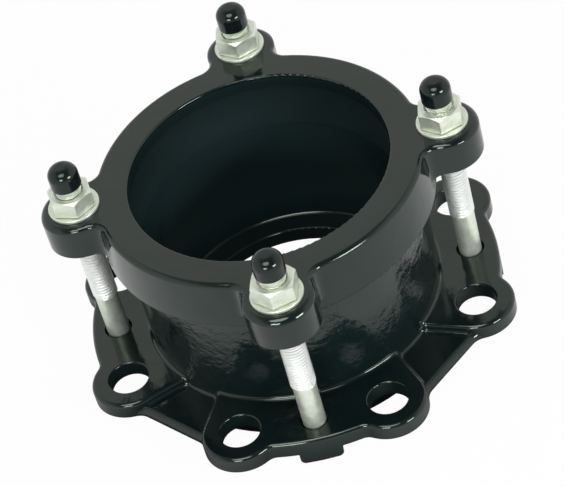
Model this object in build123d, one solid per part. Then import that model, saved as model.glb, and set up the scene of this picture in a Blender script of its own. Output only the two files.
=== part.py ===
from build123d import *
import os
from math import cos, hypot, radians, sin, tan

# Flange adaptor: a cast flanged body, a cast clamp ring and a rubber gasket,
# held together by four long bolts. It joins a plain pipe end to a drilled flange.
# Millimetres. +Z is the pipe axis, and Z = 0 is the sealing face of the flange.

# Barrel of the body, and the cone that the gasket sits in
BARREL_BORE_DIA = 124.0
BARREL_WALL = 8.5
BARREL_TOP = 77.0
BARREL_FOOT_RADIUS = 1.8
BARREL_CORNER_RADIUS = 2.0
GASKET_SEAT_DEPTH = 11.0
GASKET_SEAT_FLARE = 6.0
GASKET_SEAT_EDGE_RADIUS = 0.8

# Pipe stop and sealing face
PIPE_STOP_WIDTH = 12.0
PIPE_STOP_THICKNESS = 7.0
PIPE_STOP_EDGE_RADIUS = 1.2
SEALING_FACE_LEDGE = 6.0
SEALING_FACE_HEIGHT = 9.0
SEALING_EDGE_RADIUS = 1.0

# Flange plate: bolt holes in round lobes, thick rims at the long bolts, thin webs between
BOLT_COUNT = 8
BOLT_HOLE_DIA = 19.0
BOLT_HOLE_GAP = 10.0
BOLT_HOLE_EDGE_RADIUS = 0.8
LOBE_RADIUS = 18.0
RIM_WIDTH = 13.0
RIM_NECK_RADIUS = 6.0
PLATE_THICKNESS = 8.0
PLATE_EDGE_RADIUS = 2.0
WEB_THICKNESS = 4.0
WEB_REACH = 10.15
WEB_NECK_RADIUS = 8.0
WEB_EDGE_RADIUS = 3.2
POCKET_CORNER_RADIUS = 3.5
POCKET_FLOOR_RADIUS = 1.8

# Clamp ring
RING_SKIRT_OVERLAP = 3.0
RING_HEIGHT = 24.0
RING_WALL = 6.0
RING_SKIRT_FLARE = 2.0
RING_BORE_STEP = 1.0
RING_EDGE_RADIUS = 2.4
RING_BORE_EDGE_RADIUS = 1.0
RING_SKIRT_EDGE_RADIUS = 0.8
RING_SKIRT_CLEARANCE = 1.5
RING_CAVITY_HEIGHT = 13.0
PRESSURE_FACE_RISE = 4.0
LUG_RADIUS = 16.5
LUG_THICKNESS = 17.0
LUG_BLEND_RADIUS = 7.0
LUG_EDGE_RADIUS = 3.7
LUG_EDGE_SHIFT = 0.9

# Long bolts, and what they pass through
STUD_COUNT = 4
STUD_GAP = 9.5
STUD_DIA = 12.0
SHANK_UNDERCUT = 0.55
STUD_END_ABOVE_NUT = 10.6
STUD_THREAD_LENGTH = 78.0
STUD_END_CHAMFER = 1.2
HEAD_FLAT_DEPTH = 3.0
HEAD_THICKNESS = 7.5
STUD_HOLE_CLEARANCE = 0.75
LUG_HOLE_CLEARANCE = 1.0
HEAD_STOP_CLEARANCE = 0.5
HEAD_STOP_WIDTH = 20.0
HEAD_STOP_HEIGHT = 6.0
HEAD_STOP_CORNER_RADIUS = 2.5

# Washers, nuts and thread caps
WASHER_CLEARANCE = 0.5
WASHER_WIDTH = 5.5
WASHER_THICKNESS = 1.6
NUT_WALL = 3.5
NUT_HEIGHT = 8.8
NUT_TURNS = (-8.0, -5.5, 10.0, -13.0)
NUT_BORE_CHAMFER = 1.0
HEX_CHAMFER_ANGLE = 30.0
THREAD_CLEARANCE = 0.05
CAP_WALL = 1.1
CAP_HEIGHT = 11.0
CAP_EDGE_RADIUS = 5.0
CAP_GAP_ABOVE_NUT = 3.6

# Gasket
GASKET_RIM_OVERLAP = 1.5
GASKET_CLEARANCE = 0.3

# Radii, levels and angles that follow from the sizes above
PLATE_TOP = SEALING_FACE_HEIGHT + PLATE_THICKNESS
WEB_TOP = SEALING_FACE_HEIGHT + WEB_THICKNESS
BARREL_BORE_RADIUS = BARREL_BORE_DIA / 2
BARREL_RADIUS = BARREL_BORE_RADIUS + BARREL_WALL
BARREL_MIDDLE_RADIUS = BARREL_BORE_RADIUS + BARREL_WALL / 2
FLANGE_BORE_RADIUS = BARREL_BORE_RADIUS - PIPE_STOP_WIDTH
SEALING_FACE_RADIUS = BARREL_RADIUS + SEALING_FACE_LEDGE
SEAT_RADIUS = BARREL_BORE_RADIUS + GASKET_SEAT_FLARE
SEAT_BOTTOM = BARREL_TOP - GASKET_SEAT_DEPTH
BOLT_RADIUS = BARREL_RADIUS + BOLT_HOLE_GAP + BOLT_HOLE_DIA / 2
HALF_PITCH = 180.0 / BOLT_COUNT
STUD_RADIUS = BARREL_RADIUS + STUD_GAP + STUD_DIA / 2
SHANK_RADIUS = STUD_DIA / 2 - SHANK_UNDERCUT
HEAD_ACROSS_FLATS = STUD_DIA + 2 * HEAD_FLAT_DEPTH
WASHER_BORE_RADIUS = STUD_DIA / 2 + WASHER_CLEARANCE
WASHER_RADIUS = WASHER_BORE_RADIUS + WASHER_WIDTH
NUT_ACROSS_FLATS = STUD_DIA + 2 * NUT_WALL
STUD_STEP = 360.0 / STUD_COUNT
RIM_RADIUS = STUD_RADIUS + RIM_WIDTH
WEB_FLAT_DISTANCE = BOLT_RADIUS * cos(radians(HALF_PITCH)) + WEB_REACH
RING_TOP_RADIUS = BARREL_RADIUS + RING_WALL
RING_BORE_RADIUS = BARREL_BORE_RADIUS - RING_BORE_STEP
RING_BOTTOM = BARREL_TOP - RING_SKIRT_OVERLAP
RING_TOP = RING_BOTTOM + RING_HEIGHT
LUG_BOTTOM = RING_TOP - LUG_THICKNESS
CAVITY_RADIUS = BARREL_RADIUS + RING_SKIRT_CLEARANCE
CAVITY_TOP = RING_BOTTOM + RING_CAVITY_HEIGHT
PRESSURE_FACE_TOP = CAVITY_TOP + PRESSURE_FACE_RISE
WASHER_TOP = RING_TOP + WASHER_THICKNESS
NUT_TOP = WASHER_TOP + NUT_HEIGHT
CAP_BOTTOM = NUT_TOP + CAP_GAP_ABOVE_NUT
STUD_TOP = NUT_TOP + STUD_END_ABOVE_NUT
THREAD_BORE_RADIUS = STUD_DIA / 2 + THREAD_CLEARANCE

# How far a shape reaches into another that it is joined to, and how far a rounding runs into its wall
JOIN_DEPTH = 0.6
BLEND_DEPTH = 0.15


def turned(*corners):
    """Solid of revolution about Z. Each corner is (radius, height, rounding of that corner)."""
    face = make_face(Polyline(*[(x, z) for x, z, rounding in corners], close=True))
    for x, z, rounding in corners:
        if rounding:
            face = fillet(face.vertices().sort_by_distance((x, z, 0))[0], rounding)
    return revolve(Plane.XZ * face, Axis.Z)


def upright(radius, low, high):
    """Cylinder round Z between two levels."""
    return Pos(0, 0, (low + high) / 2) * Cylinder(radius, high - low)


def around(shape, count, first_angle=0.0):
    """Copies of a shape at equal steps round the pipe axis."""
    return [Rot(0, 0, first_angle + 360.0 / count * i) * shape for i in range(count)]


def at_studs(shape, turns=None):
    """Copies of a shape made on the pipe axis, one on each long bolt; turns gives each its own turn."""
    copies = []
    for number in range(STUD_COUNT):
        angle = STUD_STEP * number
        own_turn = turns[number % len(turns)] - angle if turns else 0.0
        copies.append(Rot(0, 0, angle) * Pos(STUD_RADIUS, 0, 0) * Rot(0, 0, own_turn) * shape)
    return copies


def outside(item, radius):
    """True when the middle of an edge or a point lies further out than a radius."""
    return hypot(item.center().X, item.center().Y) > radius


def outer_top_edges(solid, radius):
    """Edges of the top face of a solid that lie further out than a radius."""
    return [edge for edge in solid.faces().sort_by(Axis.Z)[-1].edges() if outside(edge, radius)]


def circles_at(solid, level, radius):
    """Round edges of a solid with a given radius at a given level."""
    circles = solid.edges().filter_by(GeomType.CIRCLE)
    return [edge for edge in circles if abs(edge.center().Z - level) + abs(edge.radius - radius) < 0.01]


def lobe(angle):
    """Round lobe of the flange plate about one bolt hole."""
    return Rot(0, 0, angle) * (Pos(BOLT_RADIUS, 0) * Circle(LOBE_RADIUS))


def lobe_strip(angle):
    """Lobe about one bolt hole with the strip of the same width that joins it to the barrel."""
    strip = Rot(0, 0, angle) * (Pos(BOLT_RADIUS / 2, 0) * Rectangle(BOLT_RADIUS, 2 * LOBE_RADIUS))
    return strip + lobe(angle)


def thick_outline():
    """Outline of the thick parts of the flange plate, joined by a ring inside the barrel wall."""
    corner = (2 * RIM_RADIUS, 2 * RIM_RADIUS * tan(radians(HALF_PITCH)))
    sector = make_face(Polyline((0, 0), corner, (corner[0], -corner[1]), close=True))
    part = (Circle(RIM_RADIUS) & sector) + lobe_strip(HALF_PITCH) + lobe_strip(-HALF_PITCH)
    part -= Circle(BARREL_MIDDLE_RADIUS)
    necks = [v for v in part.vertices() if abs(hypot(v.X, v.Y) - RIM_RADIUS) < 0.01]
    foot = BARREL_RADIUS - BLEND_DEPTH
    outline = Circle(foot)
    for copy in around(fillet(necks, RIM_NECK_RADIUS), STUD_COUNT):
        outline += copy
    inner = [v for v in outline.vertices() if abs(hypot(v.X, v.Y) - foot) < 0.01]
    return fillet(inner, POCKET_CORNER_RADIUS) - Circle(BARREL_MIDDLE_RADIUS)


def thick_plate():
    """Thick parts of the flange plate, with their top edge rounded."""
    block = Pos(0, 0, SEALING_FACE_HEIGHT) * extrude(thick_outline(), PLATE_THICKNESS)
    return fillet(outer_top_edges(block, BARREL_MIDDLE_RADIUS + 1), PLATE_EDGE_RADIUS)


def pocket_outline(inner, outer, growth):
    """Wedge over one web, between two thick parts of the plate, with its walls moved out by a growth."""
    half_angle = radians(HALF_PITCH)
    tip = (LOBE_RADIUS - growth) / sin(half_angle)
    half_width = (outer - tip) * tan(half_angle)
    corners = ((tip, 0), (outer, half_width), (outer, -half_width))
    return make_face(Polyline(*corners, close=True)) - Circle(inner)


def pocket_cove():
    """Hollow rounding along the foot of the walls round one web."""
    open_side = BOLT_RADIUS * cos(radians(HALF_PITCH)) + LOBE_RADIUS * sin(radians(HALF_PITCH))
    outline = pocket_outline(BARREL_RADIUS - BLEND_DEPTH, RIM_RADIUS, BLEND_DEPTH)
    corners = [v for v in outline.vertices() if v.X < BARREL_RADIUS]
    space = Pos(0, 0, WEB_TOP) * extrude(fillet(corners, POCKET_CORNER_RADIUS), PLATE_THICKNESS)
    floor = [edge for edge in space.faces().sort_by(Axis.Z)[0].edges() if edge.center().X < open_side]
    space = fillet(floor, POCKET_FLOOR_RADIUS)
    outline = pocket_outline(BARREL_MIDDLE_RADIUS, open_side, JOIN_DEPTH)
    block = Pos(0, 0, WEB_TOP - JOIN_DEPTH) * extrude(outline, JOIN_DEPTH + POCKET_FLOOR_RADIUS)
    return block - space


def web():
    """Thin web on the diagonal between two long bolts, with its outer edge well rounded."""
    depth = WEB_FLAT_DISTANCE - BARREL_MIDDLE_RADIUS
    width = 2 * BOLT_RADIUS * sin(radians(HALF_PITCH)) - LOBE_RADIUS
    outline = Pos(WEB_FLAT_DISTANCE - depth / 2, 0) * Rectangle(depth, width)
    outline += lobe(HALF_PITCH) + lobe(-HALF_PITCH)
    necks = [v for v in outline.vertices() if abs(v.X - WEB_FLAT_DISTANCE) < 0.01]
    outline = fillet(necks, WEB_NECK_RADIUS)
    block = Pos(0, 0, SEALING_FACE_HEIGHT) * extrude(outline, WEB_THICKNESS)
    return fillet(outer_top_edges(block, BARREL_MIDDLE_RADIUS + 1), WEB_EDGE_RADIUS)


def barrel():
    """Turned part of the body: raised sealing face, pipe stop, barrel and gasket seat."""
    return turned(
        (FLANGE_BORE_RADIUS, 0, 0),
        (SEALING_FACE_RADIUS, 0, SEALING_EDGE_RADIUS),
        (SEALING_FACE_RADIUS, SEALING_FACE_HEIGHT, 0),
        (BARREL_RADIUS, SEALING_FACE_HEIGHT, 0),
        (BARREL_RADIUS, BARREL_TOP, GASKET_SEAT_EDGE_RADIUS),
        (SEAT_RADIUS, BARREL_TOP, GASKET_SEAT_EDGE_RADIUS),
        (BARREL_BORE_RADIUS, SEAT_BOTTOM, 0),
        (BARREL_BORE_RADIUS, PIPE_STOP_THICKNESS, BARREL_CORNER_RADIUS),
        (FLANGE_BORE_RADIUS, PIPE_STOP_THICKNESS, PIPE_STOP_EDGE_RADIUS),
    )


def head_stop():
    """Low lug under the rim that traps one flat of a bolt head and keeps it from turning."""
    inner = STUD_RADIUS + HEAD_ACROSS_FLATS / 2 + HEAD_STOP_CLEARANCE
    depth = RIM_RADIUS - inner
    centre = Pos(inner + depth / 2, 0, SEALING_FACE_HEIGHT - HEAD_STOP_HEIGHT / 2)
    lug = centre * Box(depth, HEAD_STOP_WIDTH, HEAD_STOP_HEIGHT)
    corners = lug.edges().filter_by(Axis.X).group_by(Axis.Z)[0]
    return fillet(corners, HEAD_STOP_CORNER_RADIUS) & upright(RIM_RADIUS, 0, PLATE_TOP)


def flanged_body():
    """One casting: barrel, raised sealing face and the lobed flange plate."""
    body = barrel() + thick_plate()
    body = fillet(circles_at(body, PLATE_TOP, BARREL_RADIUS), BARREL_FOOT_RADIUS)
    body += around(web() + pocket_cove(), STUD_COUNT, STUD_STEP / 2)
    body += around(head_stop(), STUD_COUNT)
    body -= at_studs(upright(STUD_DIA / 2 + STUD_HOLE_CLEARANCE, 0, 2 * PLATE_TOP))
    bolt_hole = Pos(BOLT_RADIUS, 0, 0) * upright(BOLT_HOLE_DIA / 2, 0, 2 * PLATE_TOP)
    body -= around(bolt_hole, BOLT_COUNT, HALF_PITCH)
    rims = circles_at(body, PLATE_TOP, BOLT_HOLE_DIA / 2)
    return fillet(rims, BOLT_HOLE_EDGE_RADIUS)


def ring_cavity():
    """Section of the space inside the skirt, up to the sloping face that presses on the gasket."""
    return (
        (CAVITY_RADIUS, RING_BOTTOM, 0),
        (CAVITY_RADIUS, CAVITY_TOP, 0),
        (RING_BORE_RADIUS, PRESSURE_FACE_TOP, 0),
    )


def lug_edge_cut():
    """Cut that rounds the outer edge of a lug more than its sides, where it dies out."""
    radius = LUG_RADIUS + LUG_EDGE_SHIFT
    low = RING_TOP - LUG_EDGE_RADIUS
    kept = turned((0, low, 0), (radius, low, 0), (radius, RING_TOP, LUG_EDGE_RADIUS), (0, RING_TOP, 0))
    half = Pos(radius, 0, RING_TOP) * Box(2 * radius, 3 * radius, 3 * LUG_EDGE_RADIUS)
    return Pos(-LUG_EDGE_SHIFT, 0, 0) * ((upright(1.2 * radius, low, RING_TOP) - kept) & half)


def clamp_ring():
    """One casting: drafted ring with a skirt over the barrel, and a round lug at each long bolt."""
    ring = turned(
        (RING_BORE_RADIUS, RING_TOP, RING_BORE_EDGE_RADIUS),
        (RING_TOP_RADIUS, RING_TOP, 0),
        (RING_TOP_RADIUS + RING_SKIRT_FLARE, RING_BOTTOM, RING_SKIRT_EDGE_RADIUS),
        *ring_cavity(),
    )
    ring += at_studs(upright(LUG_RADIUS, LUG_BOTTOM, RING_TOP))
    ring -= turned((0, RING_BOTTOM, 0), *ring_cavity(), (0, PRESSURE_FACE_TOP, 0))
    corners = [
        edge
        for edge in ring.edges()
        if outside(edge, RING_TOP_RADIUS) and abs(edge.tangent_at(0.5).Z) > 0.9
    ]
    ring = fillet(corners, LUG_BLEND_RADIUS)
    ring = fillet(outer_top_edges(ring, BARREL_RADIUS), RING_EDGE_RADIUS)
    ring -= at_studs(lug_edge_cut())
    return ring - at_studs(upright(STUD_DIA / 2 + LUG_HOLE_CLEARANCE, RING_BOTTOM, RING_TOP + 1))


def gasket():
    """Rubber wedge ring that fills the space between gasket seat and clamp ring."""
    seat_slope = (SEAT_RADIUS - BARREL_BORE_RADIUS) / GASKET_SEAT_DEPTH
    face_slope = (PRESSURE_FACE_TOP - CAVITY_TOP) / (CAVITY_RADIUS - RING_BORE_RADIUS)
    rim = SEAT_RADIUS + GASKET_RIM_OVERLAP
    low = SEAT_BOTTOM + 2 * GASKET_CLEARANCE
    shoulder = BARREL_TOP + GASKET_CLEARANCE
    seat_at = BARREL_BORE_RADIUS - GASKET_CLEARANCE
    face_at = PRESSURE_FACE_TOP - GASKET_CLEARANCE
    return turned(
        (BARREL_BORE_RADIUS, low, 0),
        (seat_at + (low - SEAT_BOTTOM) * seat_slope, low, 0),
        (seat_at + (shoulder - SEAT_BOTTOM) * seat_slope, shoulder, 0),
        (rim, shoulder, 0),
        (rim, face_at - (rim - RING_BORE_RADIUS) * face_slope, 0),
        (BARREL_BORE_RADIUS, face_at - RING_BORE_STEP * face_slope, 0),
    )


def hex_prism(across_flats, low, high):
    """Hexagonal prism round Z, with two of its flats facing along X."""
    outline = Rot(0, 0, 30) * RegularPolygon(across_flats / 2, 6, major_radius=False)
    return Pos(0, 0, low) * extrude(outline, high - low)


def chamfer_cone(across_flats, low, high):
    """Blank that cuts the corners of a hexagon at its upper end."""
    reach = across_flats
    top_radius = across_flats / 2 * 0.97
    drop = (reach - top_radius) * tan(radians(HEX_CHAMFER_ANGLE))
    return turned(
        (0, low, 0), (reach, low, 0), (reach, high - drop, 0), (top_radius, high, 0), (0, high, 0)
    )


def stud():
    """Long bolt: hex head under the flange plate, plain shank and thread."""
    head_bottom = SEALING_FACE_HEIGHT - HEAD_THICKNESS
    thread_bottom = STUD_TOP - STUD_THREAD_LENGTH
    shaft = turned(
        (0, head_bottom, 0),
        (SHANK_RADIUS, head_bottom, 0),
        (SHANK_RADIUS, thread_bottom, 0),
        (STUD_DIA / 2, thread_bottom + SHANK_UNDERCUT, 0),
        (STUD_DIA / 2, STUD_TOP - STUD_END_CHAMFER, 0),
        (STUD_DIA / 2 - STUD_END_CHAMFER, STUD_TOP, 0),
        (0, STUD_TOP, 0),
    )
    return shaft + hex_prism(HEAD_ACROSS_FLATS, head_bottom, SEALING_FACE_HEIGHT)


def washer():
    """Plain washer on a lug of the clamp ring."""
    disc = upright(WASHER_RADIUS, RING_TOP, WASHER_TOP)
    return disc - upright(WASHER_BORE_RADIUS, RING_TOP, WASHER_TOP)


def nut():
    """Hex nut, chamfered at the top and countersunk at both ends."""
    blank = hex_prism(NUT_ACROSS_FLATS, 0, NUT_HEIGHT) & chamfer_cone(NUT_ACROSS_FLATS, 0, NUT_HEIGHT)
    mouth = THREAD_BORE_RADIUS + NUT_BORE_CHAMFER
    blank -= turned(
        (0, 0, 0),
        (mouth, 0, 0),
        (THREAD_BORE_RADIUS, NUT_BORE_CHAMFER, 0),
        (THREAD_BORE_RADIUS, NUT_HEIGHT - NUT_BORE_CHAMFER, 0),
        (mouth, NUT_HEIGHT, 0),
        (0, NUT_HEIGHT, 0),
    )
    return Pos(0, 0, WASHER_TOP) * blank


def cap():
    """Thin cap with a rounded end, pushed on to the end of the thread."""
    top = CAP_BOTTOM + CAP_HEIGHT
    inside_top = top - CAP_WALL
    return turned(
        (THREAD_BORE_RADIUS, CAP_BOTTOM, 0),
        (THREAD_BORE_RADIUS + CAP_WALL, CAP_BOTTOM, 0),
        (THREAD_BORE_RADIUS + CAP_WALL, top, CAP_EDGE_RADIUS),
        (0, top, 0),
        (0, inside_top, 0),
        (THREAD_BORE_RADIUS, inside_top, CAP_EDGE_RADIUS - CAP_WALL),
    )


def main():
    os.makedirs("parts", exist_ok=True)
    parts = {"flanged_body": flanged_body(), "clamp_ring": clamp_ring(), "gasket": gasket()}
    fasteners = {"stud": stud(), "washer": washer(), "nut": nut(), "cap": cap()}
    turns = {"nut": NUT_TURNS}
    for name, shape in fasteners.items():
        for number, copy in enumerate(at_studs(shape, turns.get(name)), start=1):
            parts[f"{name}_{number}"] = copy
    for name, shape in parts.items():
        export_step(shape, f"parts/{name}.step")


main()
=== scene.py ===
import math
import bmesh
import bpy
from mathutils import Matrix, Vector


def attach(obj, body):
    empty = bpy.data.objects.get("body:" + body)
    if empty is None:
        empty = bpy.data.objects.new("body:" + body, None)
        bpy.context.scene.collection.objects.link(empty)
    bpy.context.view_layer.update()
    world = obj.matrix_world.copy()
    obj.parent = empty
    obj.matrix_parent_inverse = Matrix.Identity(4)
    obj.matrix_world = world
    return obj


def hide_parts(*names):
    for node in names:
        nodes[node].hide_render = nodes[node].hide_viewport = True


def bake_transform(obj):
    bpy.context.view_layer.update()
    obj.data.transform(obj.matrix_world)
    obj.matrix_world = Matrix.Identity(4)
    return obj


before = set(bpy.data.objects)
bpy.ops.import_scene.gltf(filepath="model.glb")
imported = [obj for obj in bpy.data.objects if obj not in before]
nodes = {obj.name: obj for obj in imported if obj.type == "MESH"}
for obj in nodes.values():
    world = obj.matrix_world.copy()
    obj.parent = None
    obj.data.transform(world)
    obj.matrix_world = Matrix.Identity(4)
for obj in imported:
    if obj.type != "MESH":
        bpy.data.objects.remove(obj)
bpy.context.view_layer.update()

# Sizes repeated from the CAD source, in metres
STUD_RADIUS = 0.086
THREAD_RADIUS = 0.006
SHANK_RADIUS = 0.00545
THREAD_PITCH = 0.00175
THREAD_DEPTH = 0.00095
THREAD_BOTTOM = 0.041
STUD_TOP = 0.119
STUD_END_CHAMFER = 0.0012
HEAD_BOTTOM = 0.0015
HEAD_TOP = 0.009
HEAD_FLATS = 0.018
RING_TOP = 0.098
RING_BOTTOM = 0.074
BARREL_BORE_RADIUS = 0.062
BARREL_RADIUS = 0.0705
WASHER_TOP = 0.0996
WASHER_RADIUS = 0.012
WASHER_BORE_RADIUS = 0.0065
NUT_TOP = 0.1084
NUT_FLATS = 0.019
NUT_TURNS = {1: -8.0, 2: -5.5, 3: 10.0, 4: -13.0}
NUT_BORE_RADIUS = 0.00605
CAP_BOTTOM = 0.112
CAP_TOP = 0.123
CAP_RADIUS = 0.00715
CAP_EDGE_RADIUS = 0.005
SMALL_BEVEL = 0.0003
WELD_DISTANCE = 0.000002
DEGENERATE_LENGTH = 0.000001
GASKET_BOTTOM = 0.066
GASKET_TOP = 0.090
PIPE_STOP_TOP = 0.0072
STUD_ANGLES = {1: 0.0, 2: 90.0, 3: 180.0, 4: 270.0}

# Camera as solved from the photo: angles in radians, lengths in metres
PHOTO_WIDTH = 564
AZIMUTH = 0.0887
ELEVATION = 0.7483
ROLL = -0.2848
DISTANCE = 1.19594
SHIFT_RIGHT = 0.0047964
SHIFT_UP = -0.0139344
FOCAL_PIXELS = 2584.8
SENSOR_WIDTH = 36.0
TARGET = Vector((0, 0, 0.067))
TOWARDS_CAMERA = Vector((
    math.sin(AZIMUTH) * math.cos(ELEVATION),
    -math.cos(AZIMUTH) * math.cos(ELEVATION),
    math.sin(ELEVATION),
))

# Light: strengths, and directions as degrees round the pipe axis and above the floor
WORLD_LIGHT = 0.48
TOP_LIGHT_DIRECTION = (-110, 66)
TOP_LIGHT = 6.5
LAMP_DISTANCE = 1.6
LAMP_WIDTH = 0.52
LAMP_HEIGHT = 0.34
LAMP_ELEVATION = 20
LAMP_TARGET = Vector((0, 0, 0.055))
FLOOR_HALF_SIDE = 6.0


# ---- materials ----

class Nodes:
    """Small helper that adds shader nodes and links them."""

    def __init__(self, name):
        self.material = bpy.data.materials.new(name)
        self.material.use_nodes = True
        self.tree = self.material.node_tree
        self.shader = self.tree.nodes["Principled BSDF"]

    def add(self, kind, **settings):
        node = self.tree.nodes.new(kind)
        for key, value in settings.items():
            if key.startswith("in_"):
                node.inputs[key[3:].replace("_", " ")].default_value = value
            else:
                setattr(node, key, value)
        return node

    def link(self, start, end):
        self.tree.links.new(start, end)

    def noise(self, coords, scale, detail=3.0, roughness=0.5):
        node = self.add("ShaderNodeTexNoise", in_Scale=scale, in_Detail=detail, in_Roughness=roughness)
        self.link(coords, node.inputs["Vector"])
        return node.outputs["Fac"]

    def ramp(self, value, low, high, out_low, out_high, smooth=False):
        node = self.add("ShaderNodeMapRange", clamp=True)
        if smooth:
            node.interpolation_type = "SMOOTHSTEP"
        node.inputs["From Min"].default_value = low
        node.inputs["From Max"].default_value = high
        node.inputs["To Min"].default_value = out_low
        node.inputs["To Max"].default_value = out_high
        self.link(value, node.inputs["Value"])
        return node.outputs["Result"]

    def math(self, operation, first, second=None):
        node = self.add("ShaderNodeMath", operation=operation)
        for socket, value in zip(node.inputs, (first, second)):
            if value is None:
                continue
            if isinstance(value, (int, float)):
                socket.default_value = value
            else:
                self.link(value, socket)
        return node.outputs[0]

    def mix(self, factor, first, second):
        node = self.add("ShaderNodeMixRGB")
        self.link(factor, node.inputs["Fac"])
        node.inputs["Color1"].default_value = (*first, 1.0)
        node.inputs["Color2"].default_value = (*second, 1.0)
        return node.outputs["Color"]

    def blend(self, factor, first, second):
        """Like mix, between two colours that come from other nodes."""
        node = self.add("ShaderNodeMixRGB")
        for socket, value in zip(node.inputs, (factor, first, second)):
            self.link(value, socket)
        return node.outputs["Color"]

    def bump(self, height, distance, strength=1.0, previous=None):
        node = self.add("ShaderNodeBump", in_Distance=distance, in_Strength=strength)
        self.link(height, node.inputs["Height"])
        if previous is not None:
            self.link(previous, node.inputs["Normal"])
        return node.outputs["Normal"]

    def place(self):
        """Object coordinates, and from them the distance from the pipe axis and the height."""
        coords = self.add("ShaderNodeTexCoord").outputs["Object"]
        split = self.add("ShaderNodeSeparateXYZ")
        self.link(coords, split.inputs[0])
        x, y, z = split.outputs
        radius = self.math("SQRT", self.math("ADD", self.math("MULTIPLY", x, x), self.math("MULTIPLY", y, y)))
        return coords, radius, z

    def set(self, **values):
        for key, value in values.items():
            self.shader.inputs[key.replace("_", " ")].default_value = value

    def drive(self, socket, output):
        self.link(output, self.shader.inputs[socket])


def casting_material():
    """Glossy black coating over a casting: smooth inside and on top, rough-cast round the barrel. Inside the
    bore the colour is painted light: far paler than the coating, palest towards the bottom, and less pale on
    the pipe stop.
    """
    m = Nodes("black_coating")
    coords, radius, height = m.place()
    broad = m.noise(coords, 70.0, 2.0)
    lumps = m.noise(coords, 230.0, 3.0, 0.55)
    grain = m.noise(coords, 900.0, 2.0)
    inside = m.ramp(radius, BARREL_BORE_RADIUS - 0.0002, BARREL_BORE_RADIUS + 0.0008, 1.0, 0.0, True)
    inside = m.math("MULTIPLY", inside, m.ramp(height, RING_TOP - 0.003, RING_TOP - 0.001, 1.0, 0.0, True))
    above_stop = m.ramp(height, PIPE_STOP_TOP, PIPE_STOP_TOP + 0.0023, 0.0, 1.0, True)
    on_wall = m.math("MULTIPLY", inside, above_stop)
    patchy = m.ramp(broad, 0.35, 0.65, 0.0, 1.0)
    outer_tone = m.mix(patchy, (0.0040, 0.0088, 0.0092), (0.0052, 0.0108, 0.0112))
    # Painted light: the bore is painted far paler than the black coating, palest at the bottom where little
    # light reaches, with the pipe stop less pale than the wall next to it.
    painted_light_fade = m.ramp(height, 0.020, 0.078, 0.0, 1.0)
    bore_painted_light = m.mix(painted_light_fade, (0.038, 0.078, 0.082), (0.0066, 0.0136, 0.0144))
    stop_painted_light = m.mix(broad, (0.016, 0.032, 0.034), (0.020, 0.040, 0.042))
    bore_painted_light = m.blend(on_wall, stop_painted_light, bore_painted_light)
    m.drive("Base Color", m.blend(inside, outer_tone, bore_painted_light))
    m.drive("Specular IOR Level", m.ramp(on_wall, 0.0, 1.0, 0.5, 0.35))
    m.drive("Roughness", m.ramp(lumps, 0.3, 0.7, 0.07, 0.12))
    outside = m.ramp(radius, BARREL_RADIUS - 0.003, BARREL_RADIUS - 0.001, 0.0, 1.0, True)
    below_ring = m.ramp(height, RING_BOTTOM, RING_BOTTOM + 0.001, 1.0, 0.0, True)
    above_plate = m.ramp(height, 0.018, 0.024, 0.0, 1.0, True)
    near_barrel = m.ramp(radius, BARREL_RADIUS + 0.001, BARREL_RADIUS + 0.004, 1.0, 0.0, True)
    barrel = m.math("MULTIPLY", outside, below_ring)
    barrel = m.math("MULTIPLY", barrel, m.math("MULTIPLY", above_plate, near_barrel))
    patches = m.ramp(m.noise(coords, 26.0, 1.0), 0.45, 0.62, 0.10, 0.45, True)
    amount = m.math("ADD", m.math("MULTIPLY", barrel, patches), 0.04)
    cast_skin = m.math("MULTIPLY", m.math("ADD", lumps, m.math("MULTIPLY", grain, 0.15)), amount)
    m.drive("Normal", m.bump(cast_skin, 0.0011, 1.0, m.bump(broad, 0.0006, 0.3)))
    m.set(IOR=1.5, Specular_Tint=(0.88, 1.0, 0.86, 1.0))
    return m.material


def zinc_material():
    """Dull zinc flake coating: pale greenish grey with fine mottling, with a painted sheen that makes the
    thread below the ring top whiter.
    """
    m = Nodes("zinc_coating")
    coords, _, height = m.place()
    cloud = m.noise(coords, 320.0, 3.0, 0.6)
    speck = m.noise(coords, 2600.0, 2.0)
    mottling = m.math("ADD", m.math("MULTIPLY", cloud, 0.7), m.math("MULTIPLY", speck, 0.3))
    mottling = m.ramp(mottling, 0.36, 0.64, 0.0, 1.0)
    plain = m.mix(mottling, (0.63, 0.69, 0.575), (0.77, 0.82, 0.715))
    # Painted sheen: the exposed thread below the ring top is painted whiter and less green than the plain zinc.
    thread_painted_sheen = m.mix(mottling, (0.84, 0.87, 0.84), (0.89, 0.90, 0.89))
    thread_sheen_band = m.math(
        "MULTIPLY",
        m.ramp(height, THREAD_BOTTOM, THREAD_BOTTOM + 0.004, 0.0, 1.0, True),
        m.ramp(height, RING_TOP - 0.001, RING_TOP - 0.0005, 1.0, 0.0, True),
    )
    m.drive("Base Color", m.blend(thread_sheen_band, plain, thread_painted_sheen))
    m.drive("Roughness", m.ramp(cloud, 0.35, 0.65, 0.30, 0.42))
    m.drive("Normal", m.bump(speck, 0.00008, 0.7, m.bump(cloud, 0.00025, 0.5)))
    m.set(Metallic=0.72)
    return m.material


def cap_material():
    """Glossy black moulded plastic."""
    m = Nodes("black_plastic")
    coords = m.place()[0]
    cloud = m.noise(coords, 380.0, 2.0)
    patchy = m.ramp(cloud, 0.35, 0.65, 0.0, 1.0)
    m.drive("Base Color", m.mix(patchy, (0.0036, 0.0078, 0.0080), (0.0056, 0.0104, 0.0104)))
    m.drive("Roughness", m.ramp(cloud, 0.3, 0.7, 0.08, 0.16))
    m.drive("Normal", m.bump(cloud, 0.00015, 0.4))
    m.set(Specular_IOR_Level=0.36, Specular_Tint=(0.86, 1.0, 0.88, 1.0))
    return m.material


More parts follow.
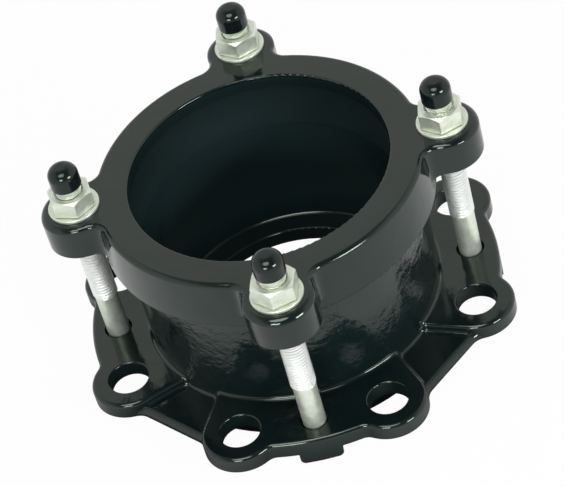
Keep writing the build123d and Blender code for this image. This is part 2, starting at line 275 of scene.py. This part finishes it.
def rubber_material():
    """Matt black rubber with faint random mottling, painted paler towards its lower edge as painted light that
    runs on from the bore.
    """
    m = Nodes("black_rubber")
    coords, _, height = m.place()
    cloud = m.noise(coords, 200.0, 4.0, 0.6)
    fine = m.noise(coords, 2200.0, 2.0)
    # Painted light: the gasket is painted paler at its lower edge and darker towards its top, to run on from
    # the painted bore, with a little random mottling.
    gasket_painted_light = m.math("ADD", m.ramp(height, GASKET_BOTTOM, GASKET_TOP, 0.0, 0.9), m.math("MULTIPLY", cloud, 0.1))
    m.drive("Base Color", m.mix(gasket_painted_light, (0.0120, 0.0250, 0.0262), (0.0062, 0.0130, 0.0138)))
    m.drive("Roughness", m.ramp(cloud, 0.3, 0.7, 0.50, 0.60))
    m.drive("Normal", m.bump(fine, 0.00008, 0.4))
    m.set(Specular_IOR_Level=0.15)
    return m.material


def floor_material():
    """White floor: the camera sees it white, and in reflections a painted shadow dims it round the object."""
    m = Nodes("floor")
    coords = m.place()[0]
    cloud = m.noise(coords, 3.0, 2.0)
    m.drive("Base Color", m.mix(cloud, (0.90, 0.90, 0.90), (0.93, 0.93, 0.93)))
    m.set(Roughness=0.9, Specular_IOR_Level=0.0)
    path = m.add("ShaderNodeLightPath")
    seen = m.math("MULTIPLY", path.outputs["Is Camera Ray"], 0.97)
    seen = m.math("MAXIMUM", seen, path.outputs["Is Glossy Ray"])
    seen = m.math("MAXIMUM", seen, path.outputs["Is Transmission Ray"])
    # Painted shadow: reflections see the floor's glow dimmed round the object, centred a little towards -X, and
    # white further out.
    off_centre = m.add("ShaderNodeVectorMath", operation="ADD")
    m.link(coords, off_centre.inputs[0])
    off_centre.inputs[1].default_value = (0.008, 0.0, 0.0)
    reach = m.add("ShaderNodeVectorMath", operation="LENGTH")
    m.link(off_centre.outputs["Vector"], reach.inputs[0])
    reflection_painted_shadow = m.ramp(reach.outputs["Value"], 0.088, 0.131, 0.02, 1.0, True)
    glow = m.add("ShaderNodeEmission")
    glow.inputs["Color"].default_value = (1.0, 1.0, 1.0, 1.0)
    m.link(m.math("MAXIMUM", path.outputs["Is Camera Ray"], reflection_painted_shadow), glow.inputs["Strength"])
    blend = m.add("ShaderNodeMixShader")
    m.link(seen, blend.inputs["Fac"])
    m.link(m.shader.outputs[0], blend.inputs[1])
    m.link(glow.outputs[0], blend.inputs[2])
    m.link(blend.outputs[0], m.tree.nodes["Material Output"].inputs["Surface"])
    return m.material


casting = casting_material()
zinc = zinc_material()
plastic = cap_material()
rubber = rubber_material()


# ---- meshes ----

def finished(bm, name, material, body, replaced, sharp):
    """Turns a bmesh into an object that stands for a CAD node and rides on a body, if one is given.

    Edges that turn by more than sharp degrees stay hard.
    """
    bmesh.ops.recalc_face_normals(bm, faces=bm.faces)
    limit = math.radians(sharp)
    for edge in bm.edges:
        edge.smooth = len(edge.link_faces) == 2 and edge.calc_face_angle(0.0) < limit
    for face in bm.faces:
        face.smooth = True
    mesh = bpy.data.meshes.new(name)
    bm.to_mesh(mesh)
    bm.free()
    mesh.materials.append(material)
    obj = bpy.data.objects.new(name, mesh)
    bpy.context.scene.collection.objects.link(obj)
    weighted = obj.modifiers.new("weighted", "WEIGHTED_NORMAL")
    weighted.keep_sharp = True
    weighted.weight = 50
    if body:
        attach(obj, body)
    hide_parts(replaced)
    return obj


def welded_copy(node):
    """Bmesh of a CAD node with the vertices of neighbouring faces joined."""
    bm = bmesh.new()
    bm.from_mesh(nodes[node].data)
    bmesh.ops.remove_doubles(bm, verts=bm.verts, dist=WELD_DISTANCE)
    bmesh.ops.dissolve_degenerate(bm, edges=bm.edges, dist=DEGENERATE_LENGTH)
    return bm


def lathe(profile, steps):
    """Bmesh turned round Z from (radius, height) points, listed from the bottom up on the outside."""
    bm = bmesh.new()
    rings = []
    for radius, height in profile:
        if radius < 1e-7:
            rings.append([bm.verts.new((0.0, 0.0, height))])
            continue
        rings.append([
            bm.verts.new((
                radius * math.cos(2 * math.pi * i / steps),
                radius * math.sin(2 * math.pi * i / steps),
                height,
            ))
            for i in range(steps)
        ])
    for low, high in zip(rings, rings[1:]):
        for i in range(steps):
            j = (i + 1) % steps
            corners = [low[i % len(low)], low[j % len(low)], high[j % len(high)], high[i % len(high)]]
            unique = list(dict.fromkeys(corners))
            if len(unique) > 2:
                bm.faces.new(unique)
    return bm


def ring_lathe(profile, steps):
    """Ring-shaped solid: a closed profile that stays off the axis."""
    bm = bmesh.new()
    rings = [
        [
            bm.verts.new((r * math.cos(2 * math.pi * i / steps), r * math.sin(2 * math.pi * i / steps), z))
            for i in range(steps)
        ]
        for r, z in profile
    ]
    for low, high in zip(rings, rings[1:] + rings[:1]):
        for i in range(steps):
            j = (i + 1) % steps
            bm.faces.new((low[i], low[j], high[j], high[i]))
    return bm


def hexagon_radius(angle, flats):
    """Distance from the axis to the side of a hexagon, with a flat facing along X at angle 0."""
    step = math.pi / 3
    local = (angle + step / 2) % step - step / 2
    return flats / 2 / math.cos(local)


def at_stud(bm, number, world_turn=None):
    """Moves a mesh made on the pipe axis to one long bolt; world_turn gives it the same heading at each."""
    angle = STUD_ANGLES[number]
    own_turn = 0.0 if world_turn is None else world_turn - angle
    place = (
        Matrix.Rotation(math.radians(angle), 4, "Z")
        @ Matrix.Translation((STUD_RADIUS, 0, 0))
        @ Matrix.Rotation(math.radians(own_turn), 4, "Z")
    )
    bmesh.ops.transform(bm, matrix=place, verts=bm.verts)
    return bm


def hex_shell(flats, low, high, bore, top_chamfer=True, low_chamfer=True, seat=0.0, steps=72):
    """Hex nut or head: every column of vertices follows the hexagon and the two chamfer cones."""
    bm = bmesh.new()
    top_circle = flats / 2 * 0.965
    slope = math.tan(math.radians(30.0))
    columns = []
    for i in range(steps):
        angle = 2 * math.pi * i / steps
        reach = hexagon_radius(angle, flats)
        drop = max(0.0, (reach - top_circle) * slope)
        upper = high - (drop if top_chamfer else 0.0)
        lower = low + (drop if low_chamfer else 0.0)
        c, s = math.cos(angle), math.sin(angle)
        points = [(top_circle, low), (reach, lower), (reach, upper), (top_circle, high)]
        if seat:
            points[:2] = [(flats / 2 * 0.94, low), (flats / 2 * 0.94, low + seat), (reach, low + seat)]
        if bore:
            points += [(bore + 0.001, high), (bore, high - 0.001), (bore, low + 0.001), (bore + 0.001, low)]
        columns.append([bm.verts.new((r * c, r * s, z)) for r, z in points])
    count = len(columns[0])
    for i in range(steps):
        a, b = columns[i], columns[(i + 1) % steps]
        for k in range(count if bore else count - 1):
            n = (k + 1) % count
            corners = list(dict.fromkeys([a[k], b[k], b[n], a[n]]))
            if len(corners) > 2:
                bm.faces.new(corners)
    if not bore:
        bm.faces.new([column[0] for column in reversed(columns)])
        bm.faces.new([column[-1] for column in columns])
    bmesh.ops.remove_doubles(bm, verts=bm.verts, dist=WELD_DISTANCE)
    return bm


def stud_mesh():
    """Rolled thread of the long bolt, which runs out at the shank; the shank and hex head are made separately.
    """
    steps = 36
    shape = [(0.0, 0.0), (0.11, 0.0), (0.42, 1.0), (0.58, 1.0), (0.89, 0.0)]
    turns = int((STUD_TOP - THREAD_BOTTOM) / THREAD_PITCH) + 3
    bm = bmesh.new()
    rows = []
    for turn in range(-1, turns):
        for offset, depth in shape:
            ring = []
            for i in range(steps + 1):
                z = THREAD_BOTTOM + (turn + offset + i / steps) * THREAD_PITCH
                z = min(max(z, THREAD_BOTTOM), STUD_TOP)
                turns_up = (z - THREAD_BOTTOM) / THREAD_PITCH
                crest = min(THREAD_RADIUS, SHANK_RADIUS + (THREAD_RADIUS - SHANK_RADIUS) * turns_up / 0.6)
                root = max(THREAD_RADIUS - THREAD_DEPTH, SHANK_RADIUS - 0.0001 * turns_up)
                radius = max(crest - THREAD_DEPTH * depth, root)
                radius = min(radius, THREAD_RADIUS - max(0.0, z - (STUD_TOP - STUD_END_CHAMFER)))
                angle = 2 * math.pi * i / steps
                ring.append(bm.verts.new((radius * math.cos(angle), radius * math.sin(angle), z)))
            rows.append(ring)
    for low, high in zip(rows, rows[1:]):
        for i in range(steps):
            bm.faces.new((low[i], low[i + 1], high[i + 1], high[i]))
    bmesh.ops.remove_doubles(bm, verts=bm.verts, dist=0.0000015)
    bmesh.ops.dissolve_degenerate(bm, edges=bm.edges, dist=DEGENERATE_LENGTH)
    return bm


def joined(first, second):
    """Adds the second bmesh to the first."""
    mesh = bpy.data.meshes.new("part")
    second.to_mesh(mesh)
    second.free()
    first.from_mesh(mesh)
    bpy.data.meshes.remove(mesh)
    return first


def close_loops(bm):
    """Closes every open rim with one face."""
    rims = [edge for edge in bm.edges if len(edge.link_faces) == 1]
    bmesh.ops.holes_fill(bm, edges=rims, sides=0)
    return bm


def arc(center_r, center_z, radius, start, end, count):
    """Points of an arc, with angles in degrees from the outward direction."""
    return [
        (
            center_r + radius * math.cos(math.radians(start + (end - start) * k / count)),
            center_z + radius * math.sin(math.radians(start + (end - start) * k / count)),
        )
        for k in range(count + 1)
    ]


def cap_mesh():
    """Cap with a thin wall, a well rounded end and a slightly rounded rim."""
    rim = SMALL_BEVEL
    wall = CAP_RADIUS - NUT_BORE_RADIUS
    corner = (CAP_RADIUS - CAP_EDGE_RADIUS, CAP_TOP - CAP_EDGE_RADIUS)
    outside = arc(CAP_RADIUS - rim, CAP_BOTTOM + rim, rim, -90, 0, 3)
    outside += arc(*corner, CAP_EDGE_RADIUS, 0, 90, 16) + [(0.0, CAP_TOP)]
    inside = [(0.0, CAP_TOP - wall)] + arc(*corner, CAP_EDGE_RADIUS - wall, 90, 0, 8)
    inside += [(NUT_BORE_RADIUS, CAP_BOTTOM)]
    return joined(lathe(outside, 48), lathe(inside + [outside[0]], 48))


def washer_mesh():
    """Flat washer with small bevels on its outer edges and round its hole."""
    bevel = SMALL_BEVEL
    outer, inner = WASHER_RADIUS, WASHER_BORE_RADIUS
    profile = [
        (inner, RING_TOP), (outer - bevel, RING_TOP), (outer, RING_TOP + bevel),
        (outer, WASHER_TOP - bevel),
        (outer - bevel * 0.3, WASHER_TOP - bevel * 0.3),
        (outer - bevel, WASHER_TOP),
        (inner + bevel, WASHER_TOP), (inner, WASHER_TOP - bevel),
    ]
    return ring_lathe(profile, 64)


def shank_mesh():
    """Plain shank that reaches a little into the head and into the thread."""
    low, high = HEAD_TOP - 0.001, THREAD_BOTTOM + 0.0002
    return lathe([(0.0, low), (SHANK_RADIUS, low), (SHANK_RADIUS, high), (0.0, high)], 36)


for number in STUD_ANGLES:
    stud = close_loops(stud_mesh())
    joined(stud, shank_mesh())
    joined(stud, hex_shell(HEAD_FLATS, HEAD_BOTTOM, HEAD_TOP, None, top_chamfer=False))
    finished(at_stud(stud, number), f"long_bolt_{number}", zinc, "body", f"stud_{number}", 40.0)
    washer = at_stud(washer_mesh(), number)
    finished(washer, f"plain_washer_{number}", zinc, "ring", f"washer_{number}", 50.0)
    nut = hex_shell(NUT_FLATS, WASHER_TOP, NUT_TOP, NUT_BORE_RADIUS, low_chamfer=False, seat=0.0004)
    nut = at_stud(nut, number, NUT_TURNS[number])
    finished(nut, f"hex_nut_{number}", zinc, f"nut_{number}", f"nut_{number}", 20.0)
    cap = cap_mesh()
    bmesh.ops.remove_doubles(cap, verts=cap.verts, dist=WELD_DISTANCE)
    cap = at_stud(cap, number)
    finished(cap, f"thread_cap_{number}", plastic, f"cap_{number}", f"cap_{number}", 50.0)

finished(welded_copy("flanged_body"), "body_casting", casting, "body", "flanged_body", 33.0)
finished(welded_copy("clamp_ring"), "ring_casting", casting, "ring", "clamp_ring", 33.0)
# The gasket stays in its seat up to the shoulder, and its sloping face follows the ring
seal = finished(welded_copy("gasket"), "wedge_gasket", rubber, None, "gasket", 30.0)
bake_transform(seal)

for name, node in nodes.items():
    node.data.materials.clear()
    if name.startswith(("flanged", "clamp")):
        node.data.materials.append(casting)
    elif name.startswith("cap"):
        node.data.materials.append(plastic)
    elif name.startswith("gasket"):
        node.data.materials.append(rubber)
    else:
        node.data.materials.append(zinc)


# ---- floor, light and camera ----

floor_mesh = bpy.data.meshes.new("floor")
floor_corners = [(x * FLOOR_HALF_SIDE, y * FLOOR_HALF_SIDE, 0) for x, y in ((-1, -1), (1, -1), (1, 1), (-1, 1))]
floor_mesh.from_pydata(floor_corners, [], [(0, 1, 2, 3)])
floor_mesh.materials.append(floor_material())
floor = bpy.data.objects.new("floor", floor_mesh)
bpy.context.scene.collection.objects.link(floor)


def heading(azimuth, elevation):
    """Unit vector from degrees round the pipe axis and above the floor."""
    a, e = math.radians(azimuth), math.radians(elevation)
    return Vector((math.cos(a) * math.cos(e), math.sin(a) * math.cos(e), math.sin(e)))


def studio_world():
    """White surroundings, darker overhead and behind the camera in reflections, which also see a top light."""
    world = bpy.data.worlds.new("studio")
    world.use_nodes = True
    tree = world.node_tree
    add = tree.nodes.new
    link = tree.links.new
    direction = add("ShaderNodeTexCoord").outputs["Generated"]

    def ramp(value, low, high, out_low, out_high):
        node = add("ShaderNodeMapRange")
        node.interpolation_type = "SMOOTHSTEP"
        for key, number in zip(("From Min", "From Max", "To Min", "To Max"), (low, high, out_low, out_high)):
            node.inputs[key].default_value = number
        link(value, node.inputs["Value"])
        return node.outputs["Result"]

    def math_node(operation, first, second):
        node = add("ShaderNodeMath")
        node.operation = operation
        link(first, node.inputs[0])
        link(second, node.inputs[1])
        return node.outputs[0]

    def facing(target):
        node = add("ShaderNodeVectorMath")
        node.operation = "DOT_PRODUCT"
        link(direction, node.inputs[0])
        node.inputs[1].default_value = target
        return node.outputs["Value"]

    split = add("ShaderNodeSeparateXYZ")
    link(direction, split.inputs[0])
    height_fade = ramp(split.outputs[2], 0.66, 0.95, 1.0, 0.3)
    camera_fade = ramp(facing(TOWARDS_CAMERA), 0.45, 0.92, 1.0, 0.12)
    top_light = ramp(facing(heading(*TOP_LIGHT_DIRECTION)), 0.940, 0.978, 0.0, TOP_LIGHT)
    reflected = math_node("MULTIPLY", height_fade, camera_fade)
    reflected = math_node("ADD", reflected, top_light)

    path = add("ShaderNodeLightPath")
    strength = add("ShaderNodeMix")
    strength.data_type = "FLOAT"
    strength.inputs[2].default_value = WORLD_LIGHT
    link(path.outputs["Is Glossy Ray"], strength.inputs[0])
    link(reflected, strength.inputs[3])
    seen = math_node("MAXIMUM", strength.outputs[0], path.outputs["Is Camera Ray"])
    link(seen, tree.nodes["Background"].inputs["Strength"])
    tree.nodes["Background"].inputs["Color"].default_value = (1.0, 1.0, 1.0, 1.0)
    return world


bpy.context.scene.world = studio_world()


def soft_light(name, azimuth, power):
    """Rectangular lamp aimed at the middle of the object."""
    direction = heading(azimuth, LAMP_ELEVATION)
    light = bpy.data.lights.new(name, "AREA")
    light.shape = "RECTANGLE"
    light.size = LAMP_WIDTH
    light.size_y = LAMP_HEIGHT
    light.energy = power
    lamp = bpy.data.objects.new(name, light)
    lamp.location = LAMP_TARGET + direction * LAMP_DISTANCE
    lamp.rotation_euler = direction.to_track_quat("Z", "Y").to_euler()
    bpy.context.scene.collection.objects.link(lamp)


soft_light("left_lamp", -109, 11.0)
soft_light("right_lamp", -46, 15.0)

back = TOWARDS_CAMERA
level_right = Vector((math.cos(AZIMUTH), math.sin(AZIMUTH), 0.0))
level_up = back.cross(level_right)
right = math.cos(ROLL) * level_right + math.sin(ROLL) * level_up
up = -math.sin(ROLL) * level_right + math.cos(ROLL) * level_up
camera_data = bpy.data.cameras.new("camera")
camera_data.sensor_width = SENSOR_WIDTH
camera_data.sensor_fit = "HORIZONTAL"
camera_data.lens = FOCAL_PIXELS / PHOTO_WIDTH * SENSOR_WIDTH
camera_data.clip_end = 50.0
camera = bpy.data.objects.new("camera", camera_data)
spot = TARGET + SHIFT_RIGHT * right + SHIFT_UP * up + DISTANCE * back
camera.matrix_world = Matrix((
    (right.x, up.x, back.x, spot.x),
    (right.y, up.y, back.y, spot.y),
    (right.z, up.z, back.z, spot.z),
    (0, 0, 0, 1),
))
bpy.context.scene.collection.objects.link(camera)
bpy.context.scene.camera = camera
bpy.context.scene.view_settings.view_transform = "Standard"
